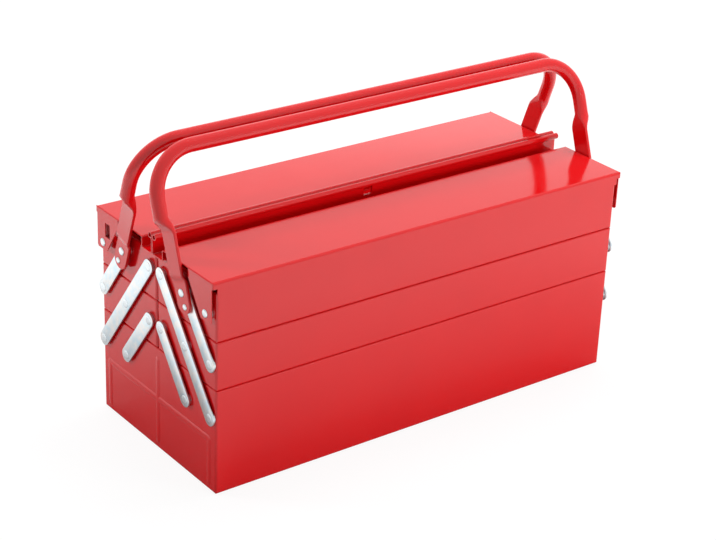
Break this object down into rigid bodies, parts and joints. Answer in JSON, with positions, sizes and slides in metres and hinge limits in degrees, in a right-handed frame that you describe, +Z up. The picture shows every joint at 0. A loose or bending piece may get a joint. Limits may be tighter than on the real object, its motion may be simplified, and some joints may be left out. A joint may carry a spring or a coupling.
{
  "type": "cantilever tool box",
  "caption": "Red sheet-steel cantilever tool box with tiers of trays on zinc-plated links, hinged lids with a padlock hole and tubular carrying handles.",
  "frame": {"origin": "centre of the underside of the base box, on the ground", "axes": "+X along the handles and the lids to the right end, +Y to the back, +Z up"},
  "size_m": [0.5094, 0.2004, 0.3102],
  "materials": {
    "red_enamel": "gloss",
    "zinc_plate": "satin"
  },
  "bodies": {
    "base": {"base_box": "red_enamel", "base_pins": "zinc_plate"},
    "front_main_link": {"front_long_strap_left": "zinc_plate"},
    "front_lower_tier": {"front_lower_tray": "red_enamel", "front_lower_tray_pins": "zinc_plate"},
    "front_upper_tier": {"front_upper_tray": "red_enamel", "front_upper_tray_pins": "zinc_plate", "front_lid_pins": "zinc_plate"},
    "front_cover": {"front_lid": "red_enamel"},
    "front_carrier": {"front_handle": "red_enamel", "front_upper_strap_left": "zinc_plate", "front_upper_strap_right": "zinc_plate", "front_handle_rivets": "zinc_plate"},
    "front_main_link_right": {"front_long_strap_right": "zinc_plate"},
    "front_low_link_left": {"front_lower_strap_left": "zinc_plate"},
    "front_low_link_right": {"front_lower_strap_right": "zinc_plate"},
    "back_main_link": {"back_long_strap_left": "zinc_plate"},
    "back_lower_tier": {"back_lower_tray": "red_enamel", "back_lower_tray_pins": "zinc_plate"},
    "back_upper_tier": {"back_upper_tray": "red_enamel", "back_upper_tray_pins": "zinc_plate", "back_lid_pins": "zinc_plate"},
    "back_cover": {"back_lid": "red_enamel"},
    "back_carrier": {"back_handle": "red_enamel", "back_upper_strap_left": "zinc_plate", "back_upper_strap_right": "zinc_plate", "back_handle_rivets": "zinc_plate"},
    "back_main_link_right": {"back_long_strap_right": "zinc_plate"},
    "back_low_link_left": {"back_lower_strap_left": "zinc_plate"},
    "back_low_link_right": {"back_lower_strap_right": "zinc_plate"}
  },
  "joints": [
    {"name": "front_fold", "type": "hinge", "parent": "base", "child": "front_main_link", "pos_m": [-0.23745, -0.0925, 0.077], "axis": [1, 0, 0], "range_deg": [0, 74]},
    {"name": "front_lower_tier_level", "type": "hinge", "parent": "front_main_link", "child": "front_lower_tier", "pos_m": [-0.23745, -0.0515, 0.131], "axis": [1, 0, 0], "range_deg": [-74, 0]},
    {"name": "front_upper_tier_level", "type": "hinge", "parent": "front_main_link", "child": "front_upper_tier", "pos_m": [-0.23745, -0.0105, 0.185], "axis": [1, 0, 0], "range_deg": [-74, 0]},
    {"name": "front_carrier_swing", "type": "hinge", "parent": "front_lower_tier", "child": "front_carrier", "pos_m": [0, -0.0925, 0.131], "axis": [1, 0, 0], "range_deg": [0, 74]},
    {"name": "front_main_link_right_swing", "type": "hinge", "parent": "base", "child": "front_main_link_right", "pos_m": [0.23745, -0.0925, 0.077], "axis": [1, 0, 0], "range_deg": [0, 74]},
    {"name": "front_low_link_left_swing", "type": "hinge", "parent": "base", "child": "front_low_link_left", "pos_m": [-0.23745, -0.0515, 0.077], "axis": [1, 0, 0], "range_deg": [0, 74]},
    {"name": "front_low_link_right_swing", "type": "hinge", "parent": "base", "child": "front_low_link_right", "pos_m": [0.23745, -0.0515, 0.077], "axis": [1, 0, 0], "range_deg": [0, 74]},
    {"name": "front_lid_swing", "type": "hinge", "parent": "front_upper_tier", "child": "front_cover", "pos_m": [0, -0.088, 0.18], "axis": [1, 0, 0], "range_deg": [0, 90]},
    {"name": "back_fold", "type": "hinge", "parent": "base", "child": "back_main_link", "pos_m": [-0.23745, 0.0925, 0.077], "axis": [-1, 0, 0], "range_deg": [0, 74]},
    {"name": "back_lower_tier_level", "type": "hinge", "parent": "back_main_link", "child": "back_lower_tier", "pos_m": [-0.23745, 0.0515, 0.131], "axis": [-1, 0, 0], "range_deg": [-74, 0]},
    {"name": "back_upper_tier_level", "type": "hinge", "parent": "back_main_link", "child": "back_upper_tier", "pos_m": [-0.23745, 0.0105, 0.185], "axis": [-1, 0, 0], "range_deg": [-74, 0]},
    {"name": "back_carrier_swing", "type": "hinge", "parent": "back_lower_tier", "child": "back_carrier", "pos_m": [0, 0.0925, 0.131], "axis": [-1, 0, 0], "range_deg": [0, 74]},
    {"name": "back_main_link_right_swing", "type": "hinge", "parent": "base", "child": "back_main_link_right", "pos_m": [0.23745, 0.0925, 0.077], "axis": [-1, 0, 0], "range_deg": [0, 74]},
    {"name": "back_low_link_left_swing", "type": "hinge", "parent": "base", "child": "back_low_link_left", "pos_m": [-0.23745, 0.0515, 0.077], "axis": [-1, 0, 0], "range_deg": [0, 74]},
    {"name": "back_low_link_right_swing", "type": "hinge", "parent": "base", "child": "back_low_link_right", "pos_m": [0.23745, 0.0515, 0.077], "axis": [-1, 0, 0], "range_deg": [0, 74]},
    {"name": "back_lid_swing", "type": "hinge", "parent": "back_upper_tier", "child": "back_cover", "pos_m": [0, 0.088, 0.18], "axis": [-1, 0, 0], "range_deg": [0, 90]}
  ],
  "couplings": [
    {"joint": "front_lower_tier_level", "follows": "front_fold", "ratio": -1},
    {"joint": "front_upper_tier_level", "follows": "front_fold", "ratio": -1},
    {"joint": "front_carrier_swing", "follows": "front_fold", "ratio": 1},
    {"joint": "front_main_link_right_swing", "follows": "front_fold", "ratio": 1},
    {"joint": "front_low_link_left_swing", "follows": "front_fold", "ratio": 1},
    {"joint": "front_low_link_right_swing", "follows": "front_fold", "ratio": 1},
    {"joint": "back_lower_tier_level", "follows": "back_fold", "ratio": -1},
    {"joint": "back_upper_tier_level", "follows": "back_fold", "ratio": -1},
    {"joint": "back_carrier_swing", "follows": "back_fold", "ratio": 1},
    {"joint": "back_main_link_right_swing", "follows": "back_fold", "ratio": 1},
    {"joint": "back_low_link_left_swing", "follows": "back_fold", "ratio": 1},
    {"joint": "back_low_link_right_swing", "follows": "back_fold", "ratio": 1}
  ]
}
